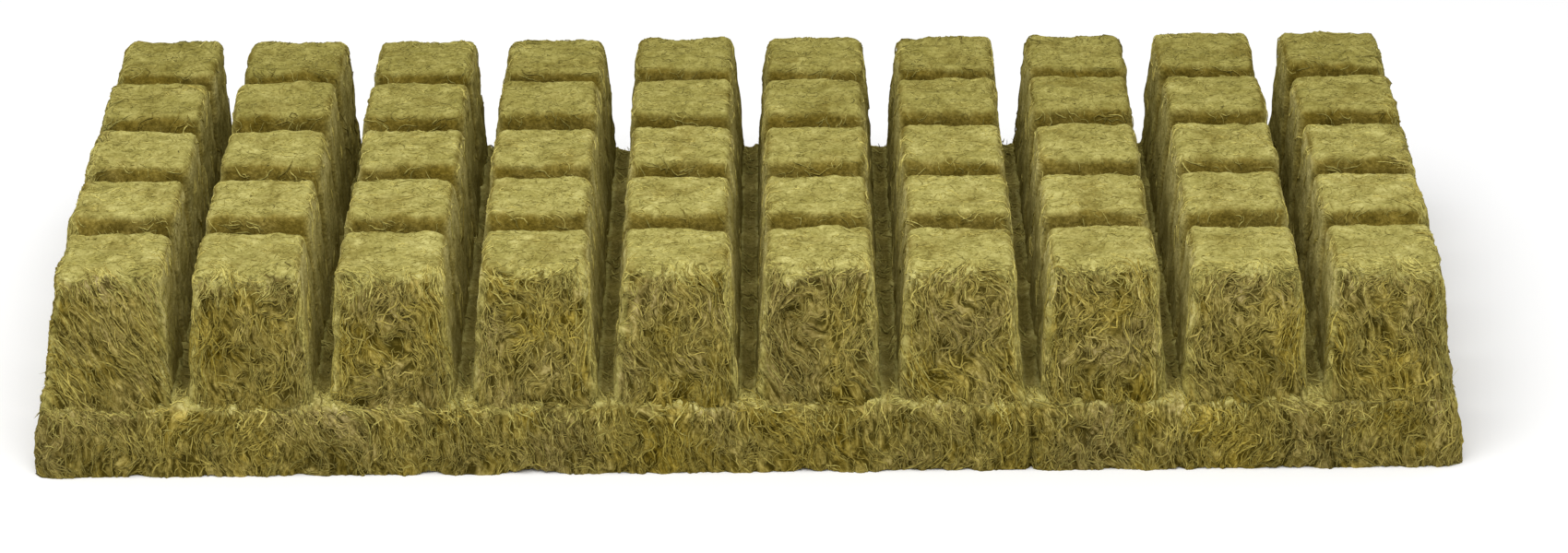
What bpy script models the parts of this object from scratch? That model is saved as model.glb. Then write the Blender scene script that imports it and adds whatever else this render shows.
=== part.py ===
"""Stone-wool plug sheet: fifty tapered plugs, five rows of ten, standing on one base slab.

Units are metres and +Z is up. The origin is the centre of the slab's underside.
The side with ten plugs runs along X. Row r1 is the front row, at -Y, and column c01 is at -X.
Every plug is sawn from the slab down to its top face, and pulls off upwards at that tear plane.
"""

import bmesh
import bpy

# Driving dimensions of the sheet
PITCH = 0.0254
COLUMNS = 10
ROWS = 5
SHEET_HEIGHT = 1.5 * PITCH
BASE_HEIGHT = 0.0135

# The grooves between the plugs are the same both ways, and wider at the top than at their floor
GROOVE_AT_FLOOR = 0.0024
GROOVE_AT_TOP = 0.0066

# The tear plane, between a plug's foot and the slab
PARTING_GAP = 0.0003

# Rounding of the wool's edges
PLUG_EDGE_RADIUS = 0.0022
BASE_CORNER_RADIUS = 0.0030
BASE_EDGE_RADIUS = 0.0012
ROUNDING_SEGMENTS = 2

# Sizes that follow from the driving dimensions
SHEET_LENGTH = COLUMNS * PITCH
SHEET_DEPTH = ROWS * PITCH
PLUG_FOOT_Z = BASE_HEIGHT + PARTING_GAP
PLUG_HEIGHT = SHEET_HEIGHT - PLUG_FOOT_Z
PLUG_FOOT_WIDTH = PITCH - GROOVE_AT_FLOOR
PLUG_TOP_WIDTH = PITCH - GROOVE_AT_TOP

# Colours of the wool, linear RGB
PLUG_COLOUR = (0.42, 0.37, 0.10, 1.0)
BASE_COLOUR = (0.30, 0.25, 0.07, 1.0)


def clear_scene():
    """Removes every object, so that the sheet starts from an empty scene."""
    for obj in list(bpy.data.objects):
        bpy.data.objects.remove(obj)


def wool_material(name, colour):
    """Dry mineral fibre: fully rough, with no metal in it."""
    material = bpy.data.materials.new(name)
    material.use_nodes = True
    shader = material.node_tree.nodes["Principled BSDF"]
    shader.inputs["Base Color"].default_value = colour
    shader.inputs["Roughness"].default_value = 0.95
    shader.inputs["Metallic"].default_value = 0.0
    return material


def add_object(name, mesh, location):
    """Links one named object that shows the mesh, with its origin at the location."""
    obj = bpy.data.objects.new(name, mesh)
    obj.location = location
    bpy.context.scene.collection.objects.link(obj)
    return obj


def rectangle(bm, width, depth, z):
    """Four vertices of a level rectangle round the Z axis, anticlockwise from -X -Y."""
    corners = ((-1, -1), (1, -1), (1, 1), (-1, 1))
    return [bm.verts.new((sx * width / 2, sy * depth / 2, z)) for sx, sy in corners]


def block(bm, lower, upper):
    """Closes the block between two level rectangles with outward faces."""
    bm.faces.new(list(reversed(lower)))
    bm.faces.new(upper)
    for i in range(4):
        j = (i + 1) % 4
        bm.faces.new((lower[i], lower[j], upper[j], upper[i]))


def round_edges(bm, edges, radius):
    """Rounds those edges of the block with an arc of the given radius."""
    bmesh.ops.bevel(
        bm,
        geom=edges,
        offset=radius,
        segments=ROUNDING_SEGMENTS,
        profile=0.5,
        affect="EDGES",
        clamp_overlap=True,
    )


def edges_at(bm, z):
    """The edges that lie level at height z."""
    flat = 1e-6
    return [e for e in bm.edges if all(abs(v.co.z - z) < flat for v in e.verts)]


def standing_edges(bm):
    """The edges that join the block's foot to its top."""
    level = set(edges_at(bm, min(v.co.z for v in bm.verts)))
    level |= set(edges_at(bm, max(v.co.z for v in bm.verts)))
    return [e for e in bm.edges if e not in level]


def finish_mesh(bm, name, material):
    """Turns the bmesh into a mesh with that material."""
    mesh = bpy.data.meshes.new(name)
    bm.to_mesh(mesh)
    bm.free()
    mesh.materials.append(material)
    return mesh


def plug_mesh(material):
    """A square plug that tapers towards its top, with a soft top edge and soft corners.

    Its own origin is the centre of its foot. The foot keeps sharp edges, where it tears off.
    """
    bm = bmesh.new()
    foot = rectangle(bm, PLUG_FOOT_WIDTH, PLUG_FOOT_WIDTH, 0.0)
    top = rectangle(bm, PLUG_TOP_WIDTH, PLUG_TOP_WIDTH, PLUG_HEIGHT)
    block(bm, foot, top)
    round_edges(bm, standing_edges(bm) + edges_at(bm, PLUG_HEIGHT), PLUG_EDGE_RADIUS)
    return finish_mesh(bm, "plug", material)


def base_mesh(material):
    """The slab that all plugs stand on, with round corners and softened long edges."""
    bm = bmesh.new()
    underside = rectangle(bm, SHEET_LENGTH, SHEET_DEPTH, 0.0)
    top = rectangle(bm, SHEET_LENGTH, SHEET_DEPTH, BASE_HEIGHT)
    block(bm, underside, top)
    round_edges(bm, standing_edges(bm), BASE_CORNER_RADIUS)
    round_edges(bm, edges_at(bm, 0.0) + edges_at(bm, BASE_HEIGHT), BASE_EDGE_RADIUS)
    return finish_mesh(bm, "base_slab", material)


def plug_centre(row, column):
    """Centre of the foot of the plug in that row and column, both counted from 1."""
    x = (column - (COLUMNS + 1) / 2) * PITCH
    y = (row - (ROWS + 1) / 2) * PITCH
    return (x, y, PLUG_FOOT_Z)


def build_sheet():
    """Adds the slab, then one object for each plug."""
    base_wool = wool_material("base_wool", BASE_COLOUR)
    plug_wool = wool_material("plug_wool", PLUG_COLOUR)
    add_object("base_slab", base_mesh(base_wool), (0.0, 0.0, 0.0))
    shared_plug = plug_mesh(plug_wool)
    for row in range(1, ROWS + 1):
        for column in range(1, COLUMNS + 1):
            name = f"plug_r{row}c{column:02d}"
            add_object(name, shared_plug, plug_centre(row, column))


clear_scene()
build_sheet()
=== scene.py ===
"""Looks of the stone-wool plug sheet: matted mineral fibre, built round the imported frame.

Units are metres, and places come from the frame. The slab and every plug get two kinds of piece: a
closed body of wool with the relief of matted fibre, and the strands that lie on it or stand off it.
Row r1 is the front row, at -Y, and column c01 is at -X.
"""

import itertools
import math
from dataclasses import dataclass, replace

import bpy
import numpy as np
from mathutils.bvhtree import BVHTree
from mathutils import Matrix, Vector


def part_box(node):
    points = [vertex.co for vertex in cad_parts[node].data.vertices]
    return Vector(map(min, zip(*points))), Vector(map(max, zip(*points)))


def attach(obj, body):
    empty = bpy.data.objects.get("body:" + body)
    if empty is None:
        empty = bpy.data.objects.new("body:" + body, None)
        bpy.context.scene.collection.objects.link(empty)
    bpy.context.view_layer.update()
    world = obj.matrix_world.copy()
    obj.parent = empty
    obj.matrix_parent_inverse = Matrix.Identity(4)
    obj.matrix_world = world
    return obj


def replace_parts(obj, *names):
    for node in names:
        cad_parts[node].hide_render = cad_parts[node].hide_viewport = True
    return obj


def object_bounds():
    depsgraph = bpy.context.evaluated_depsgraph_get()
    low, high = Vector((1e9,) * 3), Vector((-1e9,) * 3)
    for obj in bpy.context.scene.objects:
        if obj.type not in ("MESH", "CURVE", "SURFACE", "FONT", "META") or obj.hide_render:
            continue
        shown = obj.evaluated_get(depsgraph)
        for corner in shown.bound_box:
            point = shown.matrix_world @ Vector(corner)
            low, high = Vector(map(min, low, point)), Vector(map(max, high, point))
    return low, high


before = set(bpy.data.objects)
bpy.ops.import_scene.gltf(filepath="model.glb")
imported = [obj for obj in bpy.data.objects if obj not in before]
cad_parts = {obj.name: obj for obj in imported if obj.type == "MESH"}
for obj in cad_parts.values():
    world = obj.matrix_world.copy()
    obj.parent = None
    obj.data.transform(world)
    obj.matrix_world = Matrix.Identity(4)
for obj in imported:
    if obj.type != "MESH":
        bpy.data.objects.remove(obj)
cad_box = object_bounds()

MM = 0.001
PER_MM2 = 1e6
AXES = np.eye(3)
UP = AXES[2]

# Layout of the sheet
ROWS = 5
COLUMNS = 10
PITCH = (cad_box[1].x - cad_box[0].x) / COLUMNS
BASE_LOW, BASE_HIGH = (np.array(corner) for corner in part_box("base_slab"))
PLUG_FOOT_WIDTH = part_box("plug_r1c01")[1].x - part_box("plug_r1c01")[0].x
PLUG_TOP_WIDTH = 18.8 * MM

# Spacing of the grids that the wool bodies are made of
PLUG_CELLS = 40
OUTER_LAYERS = 46
INNER_LAYERS = 20
BASE_CELL = np.array([0.6, 1.0, 0.5]) * MM

# Shape of the plugs. The root is what reaches down into the slab's wool, and more so on the sheet's
# outer sides. The tops are a little higher or lower row by row, and the end columns lean inwards
PLUG_ROUNDING = np.array([1.9, 1.9, 2.3]) * MM
GROOVE_WEAR = 0.35 * MM
FOOT_FLARE = 0.4 * MM
PLUG_ROOT = 0.6 * MM
OUTER_ROOT = 0.9 * MM
ROW_RISE = (0.1 * MM, 0.2 * MM, 0.2 * MM, 0.4 * MM, -0.5 * MM)
RISE_SPREAD = 0.2 * MM
LEAN_SPREAD = 0.3 * MM
COLUMN_LEAN = {1: 1.0 * MM, COLUMNS: -0.3 * MM}
FLARE_HEIGHT = 5 * MM
FLARE_LUMPS = (2.5, 2.5 * MM)
ROOT_HEIGHT = 3 * MM

# Shape of the slab. Its sides bulge below the bulge heights, and its rim has a painted highlight above
# the ledge heights. The collar is the wool that stands up round each plug's foot, the cleft is a
# notch down the slab's front, and its foot is ragged
BASE_ROUNDING = np.array([2.6, 2.6, 4.0]) * MM
BASE_BULGE = 0.9 * MM
BULGE_HEIGHTS = (11 * MM, 5 * MM)
LEDGE_HEIGHTS = (9 * MM, 12.5 * MM)
SEAT_EDGE = 0.3 * MM
COLLAR_HEIGHT = 0.9 * MM
COLLAR_WIDTH = 0.9 * MM
COLLAR_LUMPS = (1.6, 2.4 * MM)
CLEFT_X = 2 * PITCH
CLEFT_WIDTH = 0.55 * MM
CLEFT_DEPTH = 1.5 * MM
CLEFT_WANDER = (0.3 * MM, 5.0 * MM)
RAGGED_HEIGHT = 3 * MM
RAGGED_SIZE = 3.4 * MM
RAGGED_OUT = 0.6 * MM
RAGGED_UP = 0.9 * MM

# Lumps in the wool: their height and their size
BROAD_LUMPS = (0.40 * MM, 9.0 * MM)
SMALL_LUMPS = (0.30 * MM, 3.4 * MM)
FELT_LUMPS = (0.20 * MM, 1.3 * MM)
FELT_FOLDS = (0.35 * MM, np.array([6.0, 2.4, 3.0]) * MM)
PLUG_TEAR = (0.50 * MM, 1.8 * MM)
SLAB_TEAR = (0.50 * MM, 1.6 * MM)
HOLLOW_DEPTH = 0.5 * MM
HOLLOW_SIZE = 4.0 * MM
# Painted shade: how much darker the wool is in its hollows
HOLLOW_SHADE = 0.28

# Relief of the fibre, from crevice to crest, in felt and where it is matted, and the number between
# 0 and 1 at which a crest neither rises nor sinks
FELT_GRAIN = 0.15 * MM
RIDGE_HEIGHT = 0.60 * MM
CREST_MIDDLE = 0.6

# Blotches in the wool's tone and hue: how strong they are, and their size
BROAD_TONES = (0.2, 6.0 * MM)
SMALL_TONES = (0.3, 2.3 * MM)
BROAD_HUES = (1.7, 9.0 * MM)
SMALL_HUES = (0.7, 3.0 * MM)

# Swirls in the run of the fibres: how far they push them, and their size. Down to the top depth the
# tops swirl more. Fanning is a slower change of the fibres' slant
BROAD_SWIRLS = (6.2 * MM, 9.0 * MM)
NARROW_SWIRLS = (1.6 * MM, 3.2 * MM)
TOP_SWIRL = 1.6
TOP_DEPTH = 2 * MM
FANNING_SIZE = 24 * MM
WEAVE_STEP = 0.2 * MM

# How far the pale felt hangs down over the edges of a plug's top and of the slab, and over what
# length it fades. Tufts and drift make it hang more or less: by how much, and their size
OUTER_HANG = 1.9 * MM
INNER_HANG = 0.45 * MM
BASE_HANG = 1.0 * MM
FELT_FADE = 1.4 * MM
FELT_TUFTS = (1.7 * MM, np.array([1.3, 1.3, 8.0]) * MM)
FELT_DRIFT = (3.0 * MM, 7.0 * MM)

# How pale the upright corners are, against the felt of a top. Patches make them more or less so
CORNER_PALENESS = 0.6
CORNER_PATCHES = (0.5, np.array([1.2, 1.2, 5.0]) * MM)

# The sawn walls of the grooves are less matted than the sheet's outer sides. Those that face
# forwards or back are yellower. Those that face sideways are partly felt, and paler with painted
# light by this much at the foot and twice as much at the top
INNER_MATTING = 0.25
INNER_YELLOWNESS = 0.6
INNER_FELT = 0.5
INNER_WALL_LIGHT = 0.38

# How much the outer sides of the plugs get paler from their middle to the top, and the slab's
# sides, as a painted highlight, from below to their top edge
TOP_PALENESS = 0.11
LEDGE_HIGHLIGHT = 0.45

# How pale the slab is under the plugs and at its rim, against the felt of a top, and how much of
# that its grooves keep deeper in from the sheet's outline, which is painted shade on the groove
# floors. Its sides are darker than the plugs, and darker still in the cleft, as painted shade in the
# notch
SEAT_FELT = 0.85
RIM_FELT = 0.75
SHADED_GROOVE_FELT = 0.3
SLAB_DARKNESS = 0.12
# Painted shade: how much darker the wool is in the cleft's notch
CLEFT_SHADE = 0.5

# Painted shade: the wool of the back rows is a little darker, row by row from the front, standing in for
# the light falling off towards the back
ROW_FALLOFF_SHADE = (1.0, 1.0, 0.95, 0.84, 0.78)

# Fibre sizes: ridges and felt grains in the shape, threads and fuzz in the material
RIDGE_WIDTH = 1.1 * MM
RIDGE_LENGTH = 5.0 * MM
FELT_GRAINS = (0.5, 1.6 * MM)
THREAD_WIDTH = 0.33 * MM
THREAD_LENGTH = 3.2 * MM
FUZZ_SIZE = 0.60 * MM
BUMP_DEPTH = 0.5 * MM

# How far a laid strand turns from end to end, in radians, and how much less where it is calm
CURL = 1.2
CALMING = 0.65

# Thickness of the strands against their mean, from the thinnest to the thickest, and how flat they
# are
GIRTHS = (0.6, 1.4)
STRAND_FLATNESS = 0.7

# A loose strand is a line of this many points
LOOSE_JOINTS = 5

# The row and column of the plug whose fibres run combed, down to the right
COMBED_PLUG = (1, 1)
COMBED_STRAY = 0.2

# Linear RGB of the wool, from crevice to ridge: partly the fibre's own grain, and partly painted shade in
# the crevices and painted light on the ridges
SIDE_COLOURS = ((0.064, 0.050, 0.008), (0.202, 0.158, 0.035), (0.41, 0.335, 0.102))
FELT_COLOURS = ((0.245, 0.211, 0.053), (0.408, 0.363, 0.106), (0.56, 0.51, 0.176))
SIDE_STRAND = (0.335, 0.280, 0.070)
FELT_STRAND = (0.455, 0.408, 0.117)
FLECK_COLOURS = ((0.62, 0.58, 0.48), (1.0, 1.0, 1.0))

# What the wool's colour is multiplied by where it is greyest and yellowest, and how much of that
# the strands take
GREYER = (0.97, 0.96, 1.25)
YELLOWER = (1.06, 0.99, 0.62)
STRAND_HUE = 0.7

# Darker wool is also deeper in colour: the power of the tone for red, green and blue. A strand is
# never brighter than this many times its colour
DEEPENING = (1.0, 1.06, 1.6)
STRAND_DEEPENING = (1.0, 1.0, 1.15)
BRIGHTEST = 1.6


@dataclass
class LaidKind:
    """One kind of strand that lies on the wool, with its number per square millimetre.

    They lie in bundles of ply, each a line of as many points as joints says. stray is how far they
    turn off the weave in radians, lift how many radii they rise off the wool at most, and paleness
    the least share of the felt's colour.
    """

    density: float
    length: float
    radius: float
    ply: int = 1
    joints: int = 7
    stray: float = 0.5
    lift: float = 1.0
    brightness: float = 1.0
    paleness: float = 0.0


@dataclass
class LooseKind:
    """One kind of strand that stands off the wool, with its number per square millimetre.

    They stand along a given heading, with this share of the outward direction and this scatter.
    """

    density: float
    length: float
    radius: float
    scatter: float
    outward: float = 0.0
    brightness: float = 1.1


PLUG_MATTED = LaidKind(0.60, 5.0 * MM, 0.15 * MM, ply=2)
PLUG_THICK = LaidKind(0.30, 6.5 * MM, 0.20 * MM)
PLUG_TOP = LaidKind(0.60, 2.6 * MM, 0.11 * MM, joints=5, stray=1.2, lift=0.7, brightness=1.1)
PLUG_SHOULDER = LaidKind(1.80, 3.6 * MM, 0.13 * MM, stray=0.3, brightness=1.1, paleness=0.8)
PLUG_CORNER = LaidKind(0.50, 6.0 * MM, 0.14 * MM, stray=0.2, paleness=0.6)
PLUG_TORN = LooseKind(0.40, 2.2 * MM, 0.08 * MM, scatter=0.7, outward=0.3)
PLUG_SKIRT = LooseKind(0.60, 2.0 * MM, 0.12 * MM, scatter=0.2, outward=0.1)

SLAB_MATTED = LaidKind(0.75, 5.0 * MM, 0.15 * MM, ply=2)
SLAB_THICK = LaidKind(0.22, 7.0 * MM, 0.20 * MM, stray=0.3)
SLAB_RIM = LaidKind(0.90, 3.0 * MM, 0.14 * MM, stray=1.0, paleness=0.8)
RIM_FLUFF = LooseKind(1.00, 1.2 * MM, 0.10 * MM, scatter=0.4, brightness=1.3)
MOUTH_FLUFF = LooseKind(0.40, 1.5 * MM, 0.10 * MM, scatter=0.6, brightness=1.0)
SLAB_TORN = LooseKind(0.25, 2.2 * MM, 0.08 * MM, scatter=0.6)

# The groove walls have this share of the outer sides' matted strands, and the edges between tops
# and groove walls this share of the outer edges' strands
WALL_STRANDS = 1 / 30
INNER_SHOULDER = 0.1

# The slab's back and ends have this share of its front's fluff
FAR_FLUFF = 0.25

# Where strands grow. The depths are measured down from a plug's top or from the slab's, and the
# widths inwards from the slab's outline. Matted strands start between the matting depths, and lie
# in patches
MATTING_DEPTHS = (1.5 * MM, 4 * MM)
PATCHES = (1.4, 4.0 * MM)
SHOULDER_DEPTHS = (0.4 * MM, 3.2 * MM)
SKIRT_DEPTH = 22 * MM
RIM_DEPTH = 1.5 * MM
RIM_WIDTH = 2.5 * MM
MOUTH_WIDTH = 4.5 * MM
SIDE_WIDTH = 5.0 * MM

# The camera: its lens in millimetres, its place, and its turn in degrees
LENS = 126.9
SENSOR_WIDTH = 36.0
CAMERA_PLACE = (0.00883, -0.96590, 0.41340)
CAMERA_TURN = (67.392, 0.467, -0.057)


# ---------------------------------------------------------------- noise

SHUFFLE = np.random.default_rng(7).permutation(256)
SLOPES = np.array([s for s in itertools.product((-1, 0, 1), repeat=3) if np.abs(s).sum() == 2], float)


def noise(points, size, seed=0):
    """Smooth gradient noise at the points, about -0.8 to 0.8, with grains of that size."""
    place = points / size + seed * np.array([17.31, 5.77, 11.13])
    cell = np.floor(place).astype(int)
    inside = place - cell
    ease = inside**3 * (inside * (inside * 6 - 15) + 10)
    total = np.zeros(len(points))
    for corner in itertools.product((0, 1), repeat=3):
        x, y, z = (cell + corner).T
        slope = SLOPES[SHUFFLE[(SHUFFLE[(SHUFFLE[x & 255] + y) & 255] + z) & 255] % len(SLOPES)]
        share = np.prod(np.where(corner, ease, 1 - ease), axis=1)
        total += share * ((inside - corner) * slope).sum(axis=1)
    return total


def lumps(points, kind, seed):
    """Noise at the points, for a kind that is a pair of strength and size."""
    strength, size = kind
    return strength * noise(points, size, seed)


def smooth_step(low, high, value):
    """0 below low, 1 above high, and a smooth rise between them."""
    t = np.clip((value - low) / (high - low), 0, 1)
    return t * t * (3 - 2 * t)


def unit(vectors):
    """The vectors at length 1."""
    return vectors / np.maximum(np.linalg.norm(vectors, axis=-1, keepdims=True), 1e-12)


def tangent(vectors, normals):
    """The part of the vectors that lies along the surface, at length 1."""
    return unit(vectors - normals * (vectors * normals).sum(axis=1, keepdims=True))


# ---------------------------------------------------------------- meshes


def make_mesh(name, points, faces):
    """A smooth-shaded mesh. faces is a list of arrays, each with one face per row."""
    corners = np.concatenate([f.ravel() for f in faces])
    sizes = np.concatenate([np.full(len(f), f.shape[1]) for f in faces])
    starts = np.concatenate([[0], np.cumsum(sizes)[:-1]])
    mesh = bpy.data.meshes.new(name)
    mesh.vertices.add(len(points))
    mesh.loops.add(len(corners))
    mesh.polygons.add(len(sizes))
    mesh.vertices.foreach_set("co", points.astype(np.float32).ravel())
    mesh.loops.foreach_set("vertex_index", corners.astype(np.int32))
    mesh.polygons.foreach_set("loop_start", starts.astype(np.int32))
    mesh.update(calc_edges=True)
    mesh.shade_smooth()
    return mesh


def add_piece(mesh, material, body):
    """Shows the mesh as a piece that rides on the body."""
    piece = bpy.data.objects.new(mesh.name, mesh)
    bpy.context.scene.collection.objects.link(piece)
    mesh.materials.append(material)
    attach(piece, body)
    return piece


def grid_box(cells):
    """The surface points of a box of cells, as shares from 0 to 1, and its quads facing out."""
    shape = [n + 1 for n in cells]
    outside = np.zeros(shape, bool)
    for axis in range(3):
        layers = np.moveaxis(outside, axis, 0)
        layers[0] = True
        layers[-1] = True
    index = np.full(shape, -1)
    index[outside] = np.arange(outside.sum())
    quads = []
    for axis in range(3):
        turned = index.transpose([axis, (axis + 1) % 3, (axis + 2) % 3])
        for end, facing_out in ((0, False), (-1, True)):
            sheet = turned[end]
            ring = [sheet[:-1, :-1], sheet[1:, :-1], sheet[1:, 1:], sheet[:-1, 1:]]
            ring = ring if facing_out else ring[::-1]
            quads.append(np.stack([part.ravel() for part in ring], axis=1))
    return np.argwhere(outside) / np.array(cells), np.concatenate(quads)


def rounded_block(cells, low, high, radius):
    """A block with corners and top edges rounded by a radius along each axis.

    Gives its points, its outward directions and its quads.
    """
    shares, quads = grid_box(cells)
    points = low + shares * (high - low)
    core = np.clip(points, low + radius * (1 - UP), high - radius)
    offset = (points - core) / radius
    underside = np.linalg.norm(offset, axis=1) < 1e-9
    outward = unit(offset)
    outward[underside] = -UP
    return np.where(underside[:, None], points, core + outward * radius), outward, quads


# ---------------------------------------------------------------- how the fibres run


class Weave:
    """The run of the fibres in one block: along the level lines of a wandering coordinate.

    They run upwards and wander in swirls. slant is how far they lean sideways as they rise, fanning
    how much that varies, and swirl how strongly they wander. Inside calm_box they are calmer near
    its upright edges, and they go all ways on its top.
    """

    def __init__(self, seed, slant, fanning, swirl, mid_height, calm_box=None):
        self.seed = seed
        self.slant = slant
        self.fanning = fanning
        self.swirl = swirl
        self.mid_height = mid_height
        self.calm_box = calm_box

    def calm_at(self, points):
        """1 near the upright edges of calm_box, 0 away from them."""
        if self.calm_box is None:
            return np.zeros(len(points))
        low, high = self.calm_box
        from_middle = np.abs(points - (low + high) / 2) / (high - low) * 2
        return smooth_step(0.35, 0.85, np.minimum(from_middle[:, 0], from_middle[:, 1]))

    def swirl_at(self, points):
        """How strongly the fibres swirl at the points."""
        if self.calm_box is None:
            return self.swirl
        depth = self.calm_box[1][2] - points[:, 2]
        on_sides = self.swirl * (1.1 - 0.85 * self.calm_at(points))
        return on_sides + TOP_SWIRL * smooth_step(TOP_DEPTH, 0, depth)

    def across(self, points):
        """A coordinate that changes across the fibres and stays the same along them."""
        swirls = lumps(points, BROAD_SWIRLS, self.seed) + lumps(points, NARROW_SWIRLS, self.seed + 1)
        slant = self.slant + self.fanning * noise(points, FANNING_SIZE, self.seed + 2)
        level = points[:, 0] + points[:, 1] + slant * (points[:, 2] - self.mid_height)
        return level + self.swirl_at(points) * swirls

    def along(self, points, normals):
        """The direction of the fibres at the points of a surface with those normals."""
        here = self.across(points)
        rise = np.stack([self.across(points + WEAVE_STEP * axis) - here for axis in AXES], axis=1)
        return unit(np.cross(normals, rise))


def side_share(outward):
    """1 where the surface faces sideways, 0 where it faces up or down."""
    return 1 - smooth_step(0.45, 0.85, np.abs(outward[:, 2]))


def ridges(points, across, matted, seed):
    """Ridges of matted fibre, from 0 in the crevices to 1 on the crests. Smooth felt has none."""
    thread = np.stack([across, points[:, 0] + points[:, 1], points[:, 2]], axis=1)
    drawn_out = noise(thread, np.array([RIDGE_WIDTH, RIDGE_LENGTH, RIDGE_LENGTH]), seed)
    felt = CREST_MIDDLE + lumps(points, FELT_GRAINS, seed + 1)
    crest = 1 - 2.4 * np.abs(drawn_out)
    return np.clip(crest * matted + felt * (1 - matted), 0, 1)


def wool_values(points, matted, weave, seed):
    """The relief of the wool at the points, and the numbers that its material reads.

    matted is 1 where the fibre is matted in ridges and hollows, and 0 where it is smooth felt.
    """
    across = weave.across(points)
    crest = ridges(points, across, matted, seed)
    hollow = matted * smooth_step(0.15, 0.45, noise(points, HOLLOW_SIZE, seed + 8))
    ridge_height = FELT_GRAIN + (RIDGE_HEIGHT - FELT_GRAIN) * matted
    relief = lumps(points, BROAD_LUMPS, seed + 2) + lumps(points, SMALL_LUMPS, seed + 3)
    relief += ridge_height * (crest - CREST_MIDDLE) - HOLLOW_DEPTH * hollow
    tone = (1 + matted) * lumps(points, BROAD_TONES, seed + 4) + lumps(points, SMALL_TONES, seed + 5)
    hue = lumps(points, BROAD_HUES, seed + 6) + lumps(points, SMALL_HUES, seed + 7)
    values = {
        "across": across,
        "crest": crest,
        "matted": matted,
        # Painted shade in the hollows
        "tone": np.exp(tone - HOLLOW_SHADE * hollow),
        "hue": matted * hue,
    }
    return relief, values


def pale_corners(points, outward, seed):
    """Where the wool is pale along its upright corners."""
    corner = 2 * np.abs(outward[:, 0] * outward[:, 1])
    return CORNER_PALENESS * smooth_step(0.2, 0.9, corner + lumps(points, CORNER_PATCHES, seed))


def felt_cover(points, depth, hang, seed):
    """Where the pale felt of the top covers the wool: it hangs that far over the edge, in tufts."""
    uneven = lumps(points, FELT_TUFTS, seed) + lumps(points, FELT_DRIFT, seed + 1)
    past = depth - hang - uneven * hang / OUTER_HANG
    return 1 - smooth_step(-FELT_FADE / 2, FELT_FADE / 2, past)


# ---------------------------------------------------------------- strands


class Surface:
    """A wool body that strands can be rooted on and laid along."""

    def __init__(self, points, quads, values):
        self.tree = BVHTree.FromPolygons(points.tolist(), quads.tolist())
        self.corners = points[quads]
        self.centres = self.corners.mean(axis=1)
        cross = np.cross(self.corners[:, 2] - self.corners[:, 0], self.corners[:, 3] - self.corners[:, 1])
        self.areas = np.linalg.norm(cross, axis=1) / 2
        self.normals = unit(cross)
        self.values = {name: value[quads].mean(axis=1) for name, value in values.items()}

    def patches(self, seed):
        """How densely strands lie on each quad, from a tenth to twice as many, in patches."""
        return np.clip(0.9 + lumps(self.centres, PATCHES, seed), 0.1, 2)

    def roots(self, density, rng):
        """Random roots, with that many per square metre on each quad: points, normals and quads."""
        picked = np.repeat(np.arange(len(self.areas)), rng.poisson(density * self.areas))
        u, v = rng.random((2, len(picked), 1))
        a, b, c, d = self.corners[picked].transpose(1, 0, 2)
        points = (a * (1 - u) + b * u) * (1 - v) + (d * (1 - u) + c * u) * v
        return points, self.normals[picked], picked

    def nearest(self, points):
        """The nearest points of the surface, and its normals there."""
        found = [self.tree.find_nearest(p) for p in points.tolist()]
        return np.array([f[0] for f in found]), np.array([f[1] for f in found])


def strand_colours(surface, picked, brightness, paleness, rng):
    """A colour for each strand: pale where felt covers the wool, and of the wool's hue elsewhere."""
    # The strands take the wool's felt and tone, with the painted shade and light that those carry
    felt, hue, tone = (surface.values[name][picked][:, None] for name in ("felt", "hue", "tone"))
    felt = np.maximum(felt, paleness)
    hue = STRAND_HUE * np.clip(hue, -1, 1)
    tinge = np.where(hue < 0, 1 + (np.array(GREYER) - 1) * -hue, 1 + (np.array(YELLOWER) - 1) * hue)
    colour = np.array(SIDE_STRAND) * tinge * (1 - felt) + np.array(FELT_STRAND) * felt
    vary = brightness * tone * np.exp(rng.normal(0, 0.18, (len(picked), 1)))
    return colour * np.minimum(vary, BRIGHTEST) ** np.array(STRAND_DEEPENING)


def laid_strands(surface, weave, kind, share, rng):
    """Strands that lie matted along the weave, in bundles, and longer where it is calm.

    share says how much of the kind's density each quad of the surface gets.
    """
    roots, normals, picked = surface.roots(share * kind.density * PER_MM2 / kind.ply, rng)
    unrest = 1 - CALMING * weave.calm_at(roots)
    turn = np.repeat(rng.normal(0, kind.stray, len(roots)) * unrest, kind.ply)
    sign = np.repeat(rng.choice((-1.0, 1.0), len(roots)), kind.ply)
    bundles = (roots, normals, picked, unrest)
    roots, normals, picked, unrest = (np.repeat(part, kind.ply, axis=0) for part in bundles)
    count = len(roots)
    spread = tangent(rng.normal(0, 1, (count, 3)), normals)
    spread *= rng.uniform(0, 1.6 * kind.radius * kind.ply, (count, 1))
    here, normals = surface.nearest(roots + spread * (kind.ply > 1))
    lengths = kind.length * rng.uniform(0.5, 1.5, count) / unrest**0.5
    radii = kind.radius * rng.uniform(*GIRTHS, count)
    rise = radii * rng.uniform(0.2, kind.lift, count)
    curl = rng.normal(0, CURL, count) * unrest
    lines = []
    ups = []
    for along in np.linspace(0, 1, kind.joints):
        lines.append(here + normals * (rise * math.sin(math.pi * along))[:, None])
        ups.append(normals)
        angle = (turn + curl * (along - 0.5) + rng.normal(0, 0.2, count))[:, None]
        ahead = weave.along(here, normals) * sign[:, None]
        ahead = ahead * np.cos(angle) + np.cross(normals, ahead) * np.sin(angle)
        here, normals = surface.nearest(here + ahead * (lengths / (kind.joints - 1))[:, None])
    colours = strand_colours(surface, picked, kind.brightness, kind.paleness, rng)
    return np.stack(lines, axis=1), np.stack(ups, axis=1), radii, colours


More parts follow.
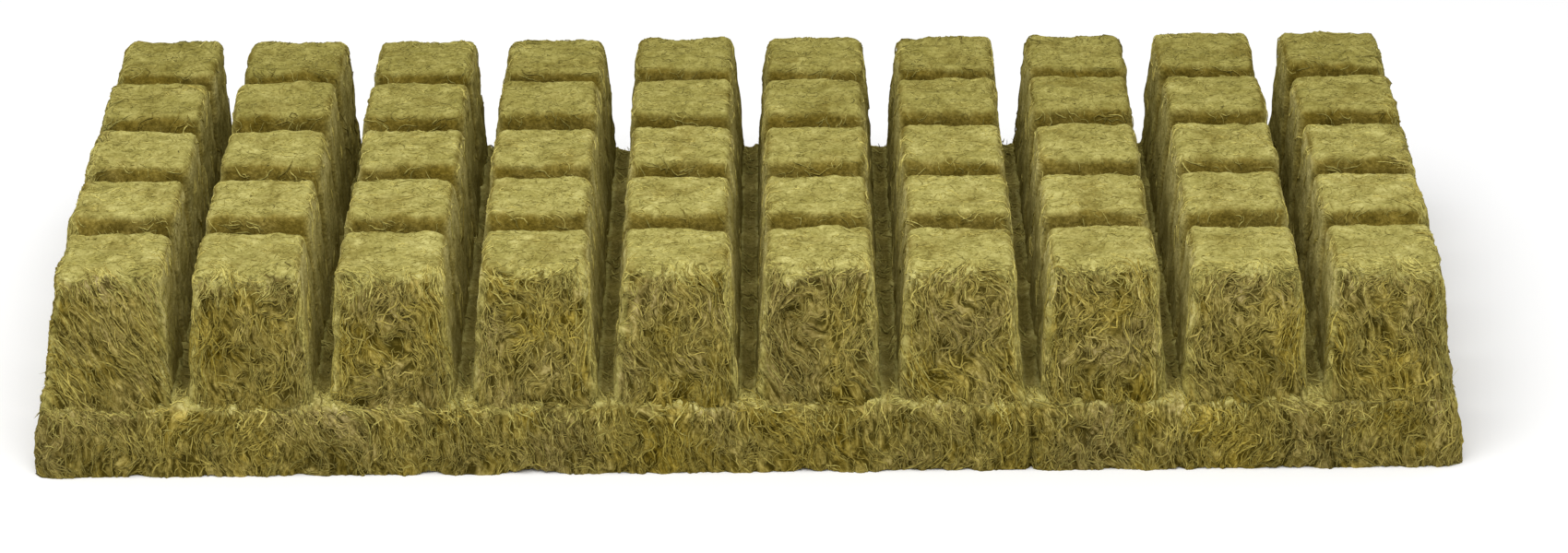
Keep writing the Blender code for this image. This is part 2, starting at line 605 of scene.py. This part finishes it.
def loose_strands(surface, kind, share, heading, rng):
    """Strands that stand off the wool along the heading, turned outwards by the kind's share.

    share says how much of the kind's density each quad of the surface gets.
    """
    roots, normals, picked = surface.roots(share * kind.density * PER_MM2, rng)
    count = len(roots)
    start = unit(kind.outward * normals + heading + kind.scatter * rng.normal(0, 1, (count, 3)))
    bend = tangent(rng.normal(0, 1, (count, 3)), start) * rng.uniform(0.2, 0.8, (count, 1))
    lengths = kind.length * rng.uniform(0.4, 1.6, count)[:, None]
    places = np.linspace(0, 1, LOOSE_JOINTS)
    lines = [roots + lengths * (along * start + along**2 * bend) for along in places]
    ups = [np.cross(start, bend)] * LOOSE_JOINTS
    radii = kind.radius * rng.uniform(*GIRTHS, count)
    colours = strand_colours(surface, picked, kind.brightness, 0.0, rng)
    return np.stack(lines, axis=1), np.stack(ups, axis=1), radii, colours


def tube_faces(count, joints):
    """Faces of that many three-sided tubes, drawn out to a point at both ends."""
    rings = joints - 2
    first, last = 3 * rings, 3 * rings + 1
    turn = ((0, 1), (1, 2), (2, 0))
    starts = range(0, 3 * (rings - 1), 3)
    quads = [(s + a, s + b, s + 3 + b, s + 3 + a) for s in starts for a, b in turn]
    caps = [(first, b, a) for a, b in turn] + [(last, last - 4 + a, last - 4 + b) for a, b in turn]
    tubes = (np.arange(count) * (3 * rings + 2))[:, None, None]
    return [(np.array(part)[None] + tubes).reshape(-1, len(part[0])) for part in (quads, caps)]


def tube_points(lines, ups, radii):
    """Points of closed tubes round the lines, in the order that tube_faces names them."""
    joints = lines.shape[1]
    along = unit(np.gradient(lines, axis=1))
    side = unit(np.cross(along, ups))
    rise = np.cross(side, along)
    girth = radii[:, None] * np.sin(math.pi * (0.12 + 0.76 * np.linspace(0, 1, joints)[1:-1]))
    rings = []
    for angle in (math.pi / 2, math.pi * 7 / 6, math.pi * 11 / 6):
        way = side * math.cos(angle) + rise * math.sin(angle) * STRAND_FLATNESS
        rings.append(lines[:, 1:-1] + way[:, 1:-1] * girth[:, :, None])
    body = np.stack(rings, axis=2).reshape(len(lines), -1, 3)
    return np.concatenate([body, lines[:, [0, -1]]], axis=1)


def strand_mesh(name, batches):
    """One mesh from batches of (lines, ups, radii, colours). None of it goes under the floor."""
    points = []
    faces = []
    tints = []
    for lines, ups, radii, colours in batches:
        start = sum(len(part) for part in points)
        tubes = tube_points(lines, ups, radii)
        points.append(tubes.reshape(-1, 3))
        faces.extend(part + start for part in tube_faces(len(lines), lines.shape[1]))
        tints.append(np.repeat(colours, tubes.shape[1], axis=0))
    points = np.concatenate(points)
    points[:, 2] = np.maximum(points[:, 2], 0)
    mesh = make_mesh(name, points, faces)
    tint = np.concatenate(tints)
    tint = np.column_stack([tint, np.ones(len(tint))])
    attribute = mesh.attributes.new("tint", "FLOAT_COLOR", "POINT")
    attribute.data.foreach_set("color", tint.astype(np.float32).ravel())
    return mesh


# ---------------------------------------------------------------- materials


class Nodes:
    """A short way to write a material's nodes."""

    def __init__(self, name):
        self.material = bpy.data.materials.new(name)
        self.material.use_nodes = True
        self.tree = self.material.node_tree
        self.shader = self.tree.nodes["Principled BSDF"]

    def add(self, kind, inputs=None, **settings):
        """Adds a node, sets it, and fills its inputs with values or links."""
        node = self.tree.nodes.new(kind)
        for key, value in settings.items():
            setattr(node, key, value)
        for key, value in (inputs or {}).items():
            self.feed(node.inputs[key], value)
        return node

    def feed(self, socket, value):
        """Links an output to the socket, or sets the socket's value."""
        if isinstance(value, bpy.types.NodeSocket):
            self.tree.links.new(value, socket)
        else:
            socket.default_value = value

    def value(self, name):
        """The numbers stored on the mesh under that name."""
        return self.add("ShaderNodeAttribute", attribute_name=name).outputs["Fac"]

    def maths(self, operation, a, b=0.0):
        """The result of one sum on two numbers."""
        return self.add("ShaderNodeMath", {0: a, 1: b}, operation=operation).outputs[0]

    def mix(self, share, a, b, blend="MIX"):
        """Mixes colour b into colour a."""
        node = self.add("ShaderNodeMix", {"Factor": share}, data_type="RGBA", blend_type=blend)
        self.feed(node.inputs[6], a)
        self.feed(node.inputs[7], b)
        return node.outputs[2]

    def grain(self, vector, scale, detail):
        """Noise of that scale, from 0 to 1."""
        inputs = {"Vector": vector, "Scale": scale, "Detail": detail, "Roughness": 0.62}
        return self.add("ShaderNodeTexNoise", inputs).outputs["Fac"]

    def ramp(self, value, colours, places):
        """Turns a number into colours."""
        node = self.add("ShaderNodeValToRGB", {"Fac": value})
        stops = node.color_ramp.elements
        while len(stops) < len(colours):
            stops.new(0.5)
        for stop, colour, place in zip(stops, colours, places):
            stop.position = place
            stop.color = (*colour, 1.0)
        return node.outputs["Color"]


def thread_vector(nodes, place):
    """Coordinates in which plain noise comes out as threads drawn out along the weave."""
    x, y, z = nodes.add("ShaderNodeSeparateXYZ", {0: place}).outputs
    across = nodes.maths("DIVIDE", nodes.value("across"), THREAD_WIDTH)
    level = nodes.maths("DIVIDE", nodes.maths("ADD", x, y), THREAD_LENGTH)
    height = nodes.maths("DIVIDE", z, THREAD_LENGTH)
    return nodes.add("ShaderNodeCombineXYZ", {0: across, 1: level, 2: height}).outputs[0]


def tinged(nodes, share, colour, tinge):
    """The colour, to that share multiplied by the tinge."""
    return nodes.mix(share, colour, nodes.mix(1.0, colour, (*tinge, 1.0), "MULTIPLY"))


def wool_material(name):
    """Matted mineral fibre: threads along the weave, crevices darkened with painted shade, pale felt on
    the tops.
    """
    nodes = Nodes(name)
    place = nodes.add("ShaderNodeTexCoord").outputs["Object"]
    threads = nodes.grain(thread_vector(nodes, place), 1.0, 2.5)
    fuzz = nodes.grain(place, 1 / FUZZ_SIZE, 4.0)
    felt = nodes.value("felt")
    matted = nodes.value("matted")
    # Painted shade and light: the colour darkens in the relief's crevices and lightens on its crests
    crest = nodes.maths("SUBTRACT", nodes.value("crest"), CREST_MIDDLE)
    crest = nodes.maths("MULTIPLY", crest, 0.28)
    tangling = nodes.maths("SUBTRACT", 0.9, nodes.maths("MULTIPLY", matted, 0.5))
    tangle = nodes.add("ShaderNodeMix", {"Factor": tangling, "A": threads, "B": fuzz}).outputs[0]
    contrast = nodes.maths("ADD", nodes.maths("MULTIPLY", matted, 0.6), 0.5)
    shade = nodes.maths("SUBTRACT", nodes.maths("ADD", tangle, crest), 0.5)
    shade = nodes.maths("MULTIPLY", shade, contrast)
    side = nodes.ramp(nodes.maths("ADD", shade, 0.5), SIDE_COLOURS, (0.32, 0.51, 0.72))
    top = nodes.ramp(nodes.maths("ADD", fuzz, crest), FELT_COLOURS, (0.24, 0.48, 0.76))

    limits = {"Value": nodes.value("hue"), "Min": -1.0, "Max": 1.0}
    hue = nodes.add("ShaderNodeClamp", limits).outputs[0]
    yellowness = nodes.maths("MAXIMUM", hue, 0.0)
    greyness = nodes.maths("MAXIMUM", nodes.maths("MULTIPLY", hue, -1.0), 0.0)
    side = tinged(nodes, yellowness, side, YELLOWER)
    side = tinged(nodes, greyness, side, GREYER)
    tones = {i: nodes.maths("POWER", nodes.value("tone"), power) for i, power in enumerate(DEEPENING)}
    tone = nodes.add("ShaderNodeCombineColor", tones).outputs[0]
    colour = nodes.mix(1.0, nodes.mix(felt, side, top), tone, "MULTIPLY")
    nodes.feed(nodes.shader.inputs["Base Color"], colour)

    height = nodes.add("ShaderNodeMix", {"Factor": felt, "A": tangle, "B": fuzz}).outputs[0]
    relief = {"Height": height, "Strength": 0.8, "Distance": BUMP_DEPTH}
    bump = nodes.add("ShaderNodeBump", relief)
    nodes.feed(nodes.shader.inputs["Normal"], bump.outputs[0])
    nodes.shader.inputs["Roughness"].default_value = 0.9
    nodes.shader.inputs["Specular IOR Level"].default_value = 0.0
    return nodes.material


def strand_material(name):
    """Loose mineral fibre, each strand with its own tint and fine dark flecks."""
    nodes = Nodes(name)
    place = nodes.add("ShaderNodeTexCoord").outputs["Object"]
    tint = nodes.add("ShaderNodeAttribute", attribute_name="tint").outputs["Color"]
    flecks = nodes.ramp(nodes.grain(place, 1 / FUZZ_SIZE, 2.0), FLECK_COLOURS, (0.35, 0.60))
    nodes.feed(nodes.shader.inputs["Base Color"], nodes.mix(1.0, tint, flecks, "MULTIPLY"))
    nodes.shader.inputs["Roughness"].default_value = 0.65
    nodes.shader.inputs["Specular IOR Level"].default_value = 0.05
    return nodes.material


def store_values(mesh, values):
    """Stores one number per point under each name, for the material to read."""
    for name, numbers in values.items():
        attribute = mesh.attributes.new(name, "FLOAT", "POINT")
        attribute.data.foreach_set("value", numbers.astype(np.float32))


# ---------------------------------------------------------------- plugs


def plug_seed(row, column):
    """The seed of this plug's noise."""
    return 40 * row + 3 * column


def outer_sides(row, column):
    """Outward directions of this plug's faces that are on the sheet's outside."""
    x, y = AXES[:2]
    edges = ((row == 1, -y), (row == ROWS, y), (column == 1, -x), (column == COLUMNS, x))
    return [way for on_edge, way in edges if on_edge]


def outer_share(outward, sides):
    """1 on the faces that look out of the sheet, 0 on the others."""
    share = np.zeros(len(outward))
    for way in sides:
        share = np.maximum(share, smooth_step(0.3, 0.8, outward @ way))
    return share


def plug_weave(row, column, low, high, rng):
    """How this plug's fibres run."""
    seed = plug_seed(row, column)
    mid_height = (low[2] + high[2]) / 2
    if (row, column) == COMBED_PLUG:
        slant, fanning, swirl = 0.5, 0.2, 0.3
    else:
        slant, fanning, swirl = 0.18 * rng.normal(), 0.6, 0.85
    return Weave(seed, slant, fanning, swirl, mid_height, calm_box=(low, high))


def plug_block(row, column, low, high, rng):
    """The smooth shape of one plug: it tapers, leans a little, and its root reaches down.

    Gives its points, outward directions and quads, how high each point is, from 0 at the foot to 1
    at the top, and the height of the top.
    """
    layers = OUTER_LAYERS if outer_sides(row, column) else INNER_LAYERS
    cells = (PLUG_CELLS, PLUG_CELLS, layers)
    top = high[2] + ROW_RISE[row - 1] + RISE_SPREAD * rng.uniform(-1, 1)
    block_high = np.array([high[0], high[1], top])
    points, outward, quads = rounded_block(cells, low - PLUG_ROOT * UP, block_high, PLUG_ROUNDING)
    rise = np.clip((points[:, 2] - low[2]) / (top - low[2]), 0, 1)[:, None]
    from_middle = (points - (low + high) / 2) * (1 - UP)
    lean = LEAN_SPREAD * rng.uniform(-1, 1, 3) * (1 - UP)
    lean[0] += COLUMN_LEAN.get(column, 0.0)
    taper = from_middle * (PLUG_TOP_WIDTH / PLUG_FOOT_WIDTH - 1)
    return points + taper * rise + lean * rise**1.5, outward, quads, rise[:, 0], top


def plug_body(row, column, weave, low, high, rng):
    """Points, quads and values of one plug's wool."""
    points, outward, quads, rise, top = plug_block(row, column, low, high, rng)
    seed = plug_seed(row, column)
    outer = outer_share(outward, outer_sides(row, column))
    side = side_share(outward)
    matted = side * (INNER_MATTING + (1 - INNER_MATTING) * outer)
    relief, values = wool_values(points, matted, weave, seed)

    above_foot = points[:, 2] - low[2]
    flare = FOOT_FLARE * (1 + lumps(points, FLARE_LUMPS, seed + 9))
    relief += flare * outer * smooth_step(FLARE_HEIGHT, 0, above_foot)
    relief -= GROOVE_WEAR * side * (1 - outer) * (1 - rise)
    felt_relief = lumps(points, FELT_LUMPS, seed + 10) + lumps(points, FELT_FOLDS, seed + 11)
    relief += (1 - side) * felt_relief
    root = OUTER_ROOT * outer * smooth_step(ROOT_HEIGHT, 0, above_foot)
    points = points - UP * root[:, None]
    underside = outward[:, 2] < -0.5
    relief[underside] = lumps(points[underside], PLUG_TEAR, seed)

    hang = INNER_HANG + (OUTER_HANG - INNER_HANG) * outer
    cover = felt_cover(points, top - points[:, 2], hang, seed)
    corners = pale_corners(points, outward, seed) * (0.4 + 0.6 * outer)
    sideways = side * (1 - outer) * outward[:, 0] ** 2
    values["felt"] = np.maximum.reduce([cover, corners, INNER_FELT * sideways])
    # Painted light: the sideways groove walls are paler, more so towards the top
    # Painted shade: the back rows are darkened row by row, for the light's falloff
    values["tone"] *= (1 + INNER_WALL_LIGHT * sideways * (1 + rise)) * ROW_FALLOFF_SHADE[row - 1]
    values["tone"] *= 1 + TOP_PALENESS * side * outer * (2 * rise - 1)
    values["hue"] += INNER_YELLOWNESS * (1 - outer) * (1 - 0.6 * outward[:, 0] ** 2)
    return points + outward * relief[:, None], quads, values


def plug_strands(row, column, surface, weave, top, rng):
    """The strands of one plug, whose top is at that height."""
    sides = outer_sides(row, column)
    depth = top - surface.centres[:, 2]
    facing_up = surface.normals[:, 2] > 0.6
    torn = surface.normals[:, 2] < -0.6
    wall = ~facing_up & ~torn
    outer = wall * outer_share(surface.normals, sides)
    inner = wall * (1 - outer)
    below = outer * smooth_step(*MATTING_DEPTHS, depth)
    patchy = below * surface.patches(row + column)
    shoulder = (depth > SHOULDER_DEPTHS[0]) & (depth < SHOULDER_DEPTHS[1])
    shoulder &= surface.normals[:, 2] < 0.9
    corner = outer * (surface.values["felt"] > 0.3)
    skirt = outer * (depth > SKIRT_DEPTH)
    matted, thick = PLUG_MATTED, PLUG_THICK
    if (row, column) == COMBED_PLUG:
        matted, thick = (replace(kind, stray=COMBED_STRAY) for kind in (matted, thick))
    batches = [
        laid_strands(surface, weave, matted, WALL_STRANDS * inner + patchy, rng),
        laid_strands(surface, weave, PLUG_TOP, facing_up, rng),
        laid_strands(surface, weave, PLUG_SHOULDER, shoulder * (INNER_SHOULDER + outer), rng),
        loose_strands(surface, PLUG_TORN, torn, 0 * UP, rng),
    ]
    if sides:
        batches.append(laid_strands(surface, weave, thick, below, rng))
        batches.append(laid_strands(surface, weave, PLUG_CORNER, corner, rng))
        batches.append(loose_strands(surface, PLUG_SKIRT, skirt, -UP, rng))
    return batches


def make_plug(row, column, wool, fibre):
    """Builds one plug: its body of wool and its strands, in those two materials."""
    name = f"plug_r{row}c{column:02d}"
    rng = np.random.default_rng((row, column))
    low, high = (np.array(corner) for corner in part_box(name))
    weave = plug_weave(row, column, low, high, rng)
    points, quads, values = plug_body(row, column, weave, low, high, rng)
    mesh = make_mesh(f"{name}_wool", points, [quads])
    store_values(mesh, values)
    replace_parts(add_piece(mesh, wool, name), name)
    batches = plug_strands(row, column, Surface(points, quads, values), weave, high[2], rng)
    add_piece(strand_mesh(f"{name}_strands", batches), fibre, name)


# ---------------------------------------------------------------- base slab


def from_outside(points):
    """How far inside the sheet's outline the points are."""
    inside = np.minimum(points - BASE_LOW, BASE_HIGH - points)
    return np.minimum(inside[:, 0], inside[:, 1])


def from_foot(points):
    """How far outside the nearest plug's foot the points are, below 0 under the plug."""
    cell = (points[:, :2] - BASE_LOW[:2]) / PITCH
    return np.abs(cell - np.floor(cell) - 0.5).max(axis=1) * PITCH - PLUG_FOOT_WIDTH / 2


def under_plug(points):
    """1 where a plug stands on the slab, 0 in the grooves and on the rim."""
    return smooth_step(SEAT_EDGE, -SEAT_EDGE, from_foot(points))


def in_cleft(points):
    """1 in the notch down the slab's front, 0 beside it."""
    from_middle = points[:, 0] - CLEFT_X - lumps(points, CLEFT_WANDER, 3)
    return np.exp(-((from_middle / CLEFT_WIDTH) ** 2))


def fray_foot(points, outward, side, seed):
    """Frays the slab's bottom edge, where it meets the floor."""
    frayed = side * smooth_step(RAGGED_HEIGHT, 0, points[:, 2])
    tufts = noise(points * (1 - UP), RAGGED_SIZE, seed)
    points = points + outward * (frayed * RAGGED_OUT * tufts)[:, None]
    points[:, 2] += frayed * RAGGED_UP * np.maximum(-tufts, 0)
    points[:, 2] = np.maximum(points[:, 2], 0)
    return points


def base_body(weave):
    """Points, quads and values of the slab's wool."""
    cells = np.round((BASE_HIGH - BASE_LOW) / BASE_CELL).astype(int)
    points, outward, quads = rounded_block(cells, BASE_LOW, BASE_HIGH, BASE_ROUNDING)
    seed = 500
    side = side_share(outward)
    relief, values = wool_values(points, side, weave, seed)

    up = smooth_step(0.5, 0.9, outward[:, 2])
    seat = under_plug(points) * up
    relief += seat * lumps(points, SLAB_TEAR, seed + 20)
    collar = COLLAR_HEIGHT * (0.7 + lumps(points, COLLAR_LUMPS, seed + 22))
    collar *= smooth_step(1.5 * MM, 3 * MM, from_outside(points))
    relief += up * collar * np.exp(-((from_foot(points) / COLLAR_WIDTH) ** 2))
    relief += BASE_BULGE * side * smooth_step(*BULGE_HEIGHTS, points[:, 2])
    cleft = in_cleft(points)
    relief -= CLEFT_DEPTH * cleft * smooth_step(0.5, 0.9, -outward[:, 1])
    relief[outward[:, 2] < -0.5] = 0

    # Painted shade: the groove floors darken deeper in from the sheet's outline
    groove_shade = up * (1 - seat) * smooth_step(0.5 * MM, 3.5 * MM, from_outside(points))
    ledge_highlight = (1 - groove_shade) * (1 - seat) * smooth_step(*LEDGE_HEIGHTS, points[:, 2])
    # Painted shade: darker in the cleft's notch
    values["tone"] *= 1 - CLEFT_SHADE * cleft * side
    # Painted highlight: the slab's upper sides and rim are paler towards the top edge
    values["tone"] *= 1 - SLAB_DARKNESS * side + LEDGE_HIGHLIGHT * ledge_highlight
    cover = felt_cover(points, BASE_HIGH[2] - points[:, 2], BASE_HANG, seed)
    felt = np.clip(SEAT_FELT * seat + RIM_FELT * cover, 0, 1)
    # Painted shade: the grooves keep less of the felt's paleness
    values["felt"] = felt * (1 - (1 - SHADED_GROOVE_FELT) * groove_shade)
    points = fray_foot(points + outward * relief[:, None], outward, side, seed + 21)
    return points, quads, values


def side_strands(surface, weave, way, rng):
    """The slab's strands on the side of the sheet that faces that way."""
    inside = from_outside(surface.centres)
    height = surface.centres[:, 2]
    facing_up = surface.normals[:, 2] > 0.5
    face = surface.normals @ way > 0.6
    near = surface.centres @ way > BASE_HIGH @ np.abs(way) - SIDE_WIDTH
    rim = facing_up & (inside < RIM_WIDTH) | ~facing_up & (height > BASE_HIGH[2] - RIM_DEPTH)
    mouth = facing_up & (inside < MOUTH_WIDTH) & (under_plug(surface.centres) < 0.3)
    fluff = near * (1.0 if way[1] < 0 else FAR_FLUFF)
    return [
        laid_strands(surface, weave, SLAB_MATTED, face * surface.patches(9), rng),
        laid_strands(surface, weave, SLAB_THICK, face, rng),
        laid_strands(surface, weave, SLAB_RIM, near * rim, rng),
        loose_strands(surface, RIM_FLUFF, fluff * rim, UP - way, rng),
        loose_strands(surface, MOUTH_FLUFF, fluff * mouth, UP - way, rng),
    ]


def make_base(wool, fibre):
    """Builds the slab: its body of wool and its strands, in those two materials."""
    rng = np.random.default_rng(99)
    weave = Weave(700, slant=0.0, fanning=1.2, swirl=0.45, mid_height=BASE_HIGH[2] / 2)
    points, quads, values = base_body(weave)
    mesh = make_mesh("base_slab_wool", points, [quads])
    store_values(mesh, values)
    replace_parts(add_piece(mesh, wool, "base"), "base_slab")

    surface = Surface(points, quads, values)
    x, y = AXES[:2]
    for side, way in (("front", -y), ("back", y), ("left", -x), ("right", x)):
        batches = side_strands(surface, weave, way, rng)
        add_piece(strand_mesh(f"base_slab_strands_{side}", batches), fibre, "base")
    seat = (surface.normals[:, 2] > 0.5) * under_plug(surface.centres)
    batches = [loose_strands(surface, SLAB_TORN, seat, 0.4 * UP, rng)]
    add_piece(strand_mesh("base_slab_strands_torn", batches), fibre, "base")


# ---------------------------------------------------------------- stage, lights and camera


def make_floor():
    """A plain pale floor under the sheet."""
    side = 4.0
    corners = np.array([(-side, -side, 0), (side, -side, 0), (side, side, 0), (-side, side, 0)], float)
    mesh = make_mesh("floor", corners, [np.array([[0, 1, 2, 3]])])
    floor = bpy.data.objects.new("floor", mesh)
    bpy.context.scene.collection.objects.link(floor)
    paint = Nodes("floor_paint")
    paint.shader.inputs["Base Color"].default_value = (0.97, 0.97, 0.97, 1.0)
    paint.shader.inputs["Roughness"].default_value = 0.9
    paint.shader.inputs["Specular IOR Level"].default_value = 0.0
    mesh.materials.append(paint.material)


def add_area_light(name, location, size, power):
    """A square soft light that points at the sheet."""
    data = bpy.data.lights.new(name, "AREA")
    data.size = size
    data.energy = power
    light = bpy.data.objects.new(name, data)
    light.location = location
    aim = np.array([0.0, 0.0, 0.02]) - np.array(location)
    pitch = math.acos(-aim[2] / np.linalg.norm(aim))
    light.rotation_euler = (pitch, 0.0, math.atan2(aim[1], aim[0]) - math.pi / 2)
    bpy.context.scene.collection.objects.link(light)


def light_scene():
    """A big soft light from above, and an even pale surround."""
    add_area_light("key", location=(-0.08, -0.40, 0.80), size=0.9, power=7.0)
    world = bpy.data.worlds.new("surround")
    world.use_nodes = True
    background = world.node_tree.nodes["Background"]
    background.inputs["Color"].default_value = (1.0, 1.0, 1.0, 1.0)
    background.inputs["Strength"].default_value = 0.6
    bpy.context.scene.world = world
    bpy.context.scene.view_settings.view_transform = "Standard"


def add_camera():
    """A long lens, a metre in front and well above the sheet."""
    data = bpy.data.cameras.new("camera")
    data.lens = LENS
    data.sensor_width = SENSOR_WIDTH
    camera = bpy.data.objects.new("camera", data)
    camera.location = CAMERA_PLACE
    camera.rotation_euler = [math.radians(angle) for angle in CAMERA_TURN]
    bpy.context.scene.collection.objects.link(camera)
    bpy.context.scene.camera = camera


# ---------------------------------------------------------------- the scene


def make_sheet():
    """Builds the slab and all plugs."""
    plug_wool = wool_material("plug_wool")
    base_wool = wool_material("base_wool")
    plug_fibre = strand_material("plug_strands")
    base_fibre = strand_material("base_strands")
    make_base(base_wool, base_fibre)
    for row, column in itertools.product(range(1, ROWS + 1), range(1, COLUMNS + 1)):
        make_plug(row, column, plug_wool, plug_fibre)


make_sheet()
make_floor()
light_scene()
add_camera()
